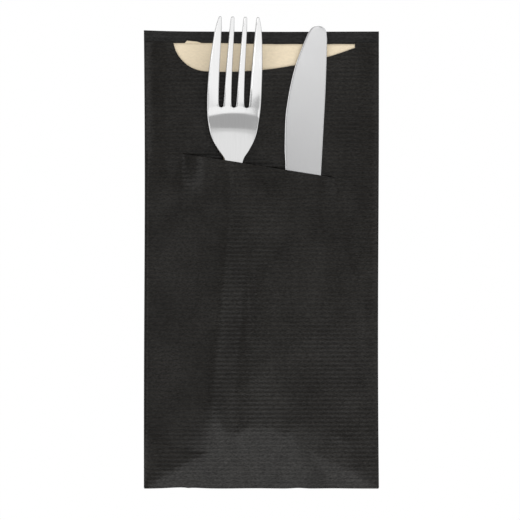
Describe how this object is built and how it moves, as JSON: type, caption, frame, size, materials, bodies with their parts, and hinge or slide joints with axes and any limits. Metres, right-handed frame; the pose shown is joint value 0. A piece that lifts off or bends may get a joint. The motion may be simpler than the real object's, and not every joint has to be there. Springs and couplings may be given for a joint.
{
  "type": "cutlery pouch with napkin",
  "caption": "Flat ribbed black paper cutlery pouch with a slanted slit and thumb notch, holding a folded cream napkin, a fork and a knife.",
  "frame": {"origin": "middle of the pouch's back, on the outer face of the glued centre seam", "axes": "+X to the pouch's right, +Y towards its open top and the fork's tips, +Z out of the front panel; the pouch lies on its back"},
  "size_m": [0.108, 0.2172, 0.0177],
  "materials": {
    "black_kraft": "matt ribbed kraft paper, dyed black through",
    "cream_tissue": "soft matt embossed tissue",
    "polished_steel": "mirror-polished stainless steel",
    "satin_steel": "finely ground satin stainless steel"
  },
  "bodies": {
    "root": {"pouch": "black_kraft", "napkin": "cream_tissue", "fork": "polished_steel", "knife": "satin_steel"}
  },
  "joints": []
}
